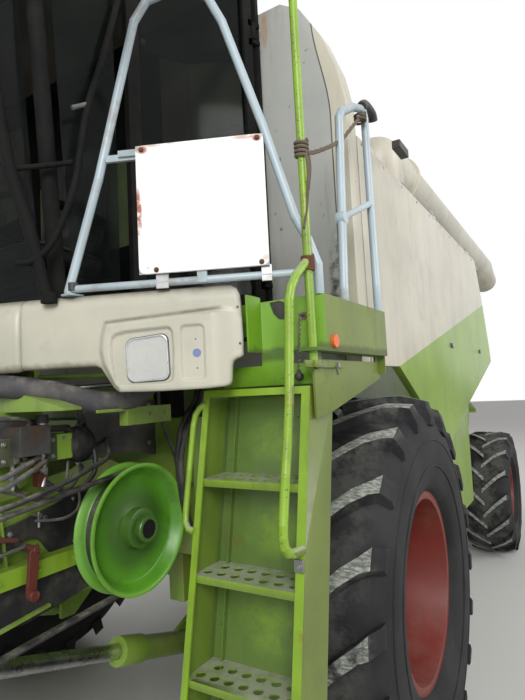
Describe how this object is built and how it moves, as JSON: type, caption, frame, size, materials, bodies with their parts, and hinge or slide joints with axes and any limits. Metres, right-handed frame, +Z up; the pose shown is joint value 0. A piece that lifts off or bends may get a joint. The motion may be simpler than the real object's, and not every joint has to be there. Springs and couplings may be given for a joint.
{
  "type": "combine harvester",
  "caption": "Self-propelled straw-walker combine harvester without header: cab, ladder, feeder house, grain tank, swinging unloading auger, opening side panels, steering rear axle.",
  "frame": {"origin": "on the ground below the middle of the machine's length and width", "axes": "+X the machine's left side, -Y its front, +Z up"},
  "size_m": [3.226, 8.8508, 3.85],
  "materials": {
    "green_paint": "worn satin paint",
    "bright_green_paint": "worn gloss paint",
    "cream_paint": "satin paint",
    "grey_paint": "dusty satin paint",
    "blue_grey_paint": "satin paint",
    "red_paint": "worn satin paint",
    "tyre_rubber": "dusty matt rubber",
    "belt_rubber": "matt rubber",
    "dark_steel": "oily dark steel",
    "rod_steel": "polished rod",
    "tinted_glass": "tinted glass",
    "lens_red": "red lamp plastic",
    "lamp_glass": "ribbed clear glass",
    "dark_plastic": "matt black plastic",
    "seat_fabric": "woven dark cloth",
    "rust_steel": "rusty sheet"
  },
  "bodies": {
    "machine": {"chassis_frame": "green_paint", "front_axle": "green_paint", "rear_axle_beam": "green_paint", "threshing_body": "green_paint", "front_wall": "grey_paint", "grain_tank": "grey_paint", "body_deck": "grey_paint", "side_skirts": "green_paint", "cleaning_shoe": "dark_steel", "straw_hood": "cream_paint", "straw_chopper": "green_paint", "engine_block": "dark_steel", "engine_cover": "grey_paint", "radiator_housing": "grey_paint", "exhaust_stack": "rust_steel", "auger_turret": "grey_paint", "cab_floor": "dark_plastic", "cab_frame": "dark_plastic", "cab_roof": "cream_paint", "windscreen": "tinted_glass", "side_glass": "tinted_glass", "seat": "seat_fabric", "steering_column": "dark_plastic", "platform": "bright_green_paint", "front_rail": "blue_grey_paint", "side_rail": "blue_grey_paint", "front_apron": "cream_paint", "headlamps": "lamp_glass", "mirrors": "dark_plastic", "rear_lamps": "lens_red", "valve_block": "dark_steel"},
    "front_wheel_left": {"front_tyre_left": "tyre_rubber", "front_rim_left": "red_paint"},
    "front_wheel_right": {"front_tyre_right": "tyre_rubber", "front_rim_right": "red_paint"},
    "rear_wheel_left": {"rear_tyre_left": "tyre_rubber", "rear_rim_left": "red_paint"},
    "rear_wheel_right": {"rear_tyre_right": "tyre_rubber", "rear_rim_right": "red_paint"},
    "steering_knuckle_left": {"knuckle_left": "green_paint"},
    "steering_knuckle_right": {"knuckle_right": "green_paint"},
    "left_tank_cover": {"tank_cover_left": "grey_paint"},
    "right_tank_cover": {"tank_cover_right": "grey_paint"},
    "left_side_panel": {"side_panel_left": "cream_paint"},
    "right_side_panel": {"side_panel_right": "cream_paint"},
    "flap": {"spreader_flap": "green_paint"},
    "screen_rotor": {"rotary_screen": "dark_plastic"},
    "auger": {"unloading_auger": "cream_paint"},
    "door": {"cab_door": "dark_plastic", "door_glass": "tinted_glass"},
    "ladder_swing": {"ladder": "bright_green_paint"},
    "feeder": {"feeder_house": "green_paint", "feeder_belt": "belt_rubber"},
    "drive_pulley": {"feeder_pulley": "bright_green_paint"},
    "left_lift_barrel": {"lift_barrel_left": "green_paint"},
    "right_lift_barrel": {"lift_barrel_right": "green_paint"},
    "left_lift_rod": {"lift_rod_left": "rod_steel"},
    "right_lift_rod": {"lift_rod_right": "rod_steel"}
  },
  "joints": [
    {"name": "front_left_spin", "type": "hinge", "parent": "machine", "child": "front_wheel_left", "pos_m": [1.288, -1.72464, 0.88], "axis": [1, 0, 0], "continuous": true},
    {"name": "front_right_spin", "type": "hinge", "parent": "machine", "child": "front_wheel_right", "pos_m": [-1.288, -1.72464, 0.88], "axis": [1, 0, 0], "continuous": true},
    {"name": "left_steer", "type": "hinge", "parent": "machine", "child": "steering_knuckle_left", "pos_m": [1, 1.92836, 0.62], "axis": [0, 0, 1], "range_deg": [-32, 32]},
    {"name": "right_steer", "type": "hinge", "parent": "machine", "child": "steering_knuckle_right", "pos_m": [-1, 1.92836, 0.62], "axis": [0, 0, 1], "range_deg": [-32, 32]},
    {"name": "rear_left_spin", "type": "hinge", "parent": "steering_knuckle_left", "child": "rear_wheel_left", "pos_m": [1.323, 1.92836, 0.62], "axis": [1, 0, 0], "continuous": true},
    {"name": "rear_right_spin", "type": "hinge", "parent": "steering_knuckle_right", "child": "rear_wheel_right", "pos_m": [-1.323, 1.92836, 0.62], "axis": [1, 0, 0], "continuous": true},
    {"name": "left_cover_hinge", "type": "hinge", "parent": "machine", "child": "left_tank_cover", "pos_m": [1, -1.12464, 3.538], "axis": [0, 1, 0], "range_deg": [0, 105]},
    {"name": "right_cover_hinge", "type": "hinge", "parent": "machine", "child": "right_tank_cover", "pos_m": [-1, -1.12464, 3.538], "axis": [0, -1, 0], "range_deg": [0, 105]},
    {"name": "left_panel_hinge", "type": "hinge", "parent": "machine", "child": "left_side_panel", "pos_m": [1.48, -0.52464, 2.9], "axis": [0, -1, 0], "range_deg": [0, 75]},
    {"name": "right_panel_hinge", "type": "hinge", "parent": "machine", "child": "right_side_panel", "pos_m": [-1.48, -0.52464, 2.9], "axis": [0, 1, 0], "range_deg": [0, 75]},
    {"name": "flap_hinge", "type": "hinge", "parent": "machine", "child": "flap", "pos_m": [0, 3.72536, 1.56], "axis": [1, 0, 0], "range_deg": [-15, 30]},
    {"name": "screen_spin", "type": "hinge", "parent": "machine", "child": "screen_rotor", "pos_m": [-1.365, 0.83536, 3.23], "axis": [1, 0, 0], "continuous": true},
    {"name": "auger_swing", "type": "hinge", "parent": "machine", "child": "auger", "pos_m": [1.22, -0.97464, 3], "axis": [0, 0, -1], "range_deg": [0, 100]},
    {"name": "door_hinge", "type": "hinge", "parent": "machine", "child": "door", "pos_m": [1.11309, -2.28741, 2.9], "axis": [0, 0, 1], "range_deg": [0, 60]},
    {"name": "ladder_hinge", "type": "hinge", "parent": "machine", "child": "ladder_swing", "pos_m": [1.572, -2.81664, 1.9], "axis": [0, 0, 1], "range_deg": [0, 90]},
    {"name": "feeder_lift", "type": "hinge", "parent": "machine", "child": "feeder", "pos_m": [0, -2.79964, 1.35], "axis": [1, 0, 0], "range_deg": [-2, 28]},
    {"name": "drive_pulley_spin", "type": "hinge", "parent": "feeder", "child": "drive_pulley", "pos_m": [0.8, -2.79964, 1.35], "axis": [1, 0, 0], "continuous": true},
    {"name": "left_barrel_pivot", "type": "hinge", "parent": "machine", "child": "left_lift_barrel", "pos_m": [0.5, -2.14464, 0.615], "axis": [1, 0, 0], "range_deg": [-3, 14]},
    {"name": "left_rod_slide", "type": "slide", "parent": "left_lift_barrel", "child": "left_lift_rod", "axis": [0, -0.9502, 0.3118], "range_m": [-0.3, 0.03]},
    {"name": "right_barrel_pivot", "type": "hinge", "parent": "machine", "child": "right_lift_barrel", "pos_m": [-0.5, -2.14464, 0.615], "axis": [1, 0, 0], "range_deg": [-3, 14]},
    {"name": "right_rod_slide", "type": "slide", "parent": "right_lift_barrel", "child": "right_lift_rod", "axis": [0, -0.9502, 0.3118], "range_m": [-0.3, 0.03]}
  ],
  "couplings": [
    {"joint": "right_steer", "follows": "left_steer", "ratio": 1},
    {"joint": "left_barrel_pivot", "follows": "feeder_lift", "ratio": 0.343},
    {"joint": "left_rod_slide", "follows": "feeder_lift", "m_per_rad": -0.553},
    {"joint": "right_barrel_pivot", "follows": "feeder_lift", "ratio": 0.343},
    {"joint": "right_rod_slide", "follows": "feeder_lift", "m_per_rad": -0.553}
  ]
}
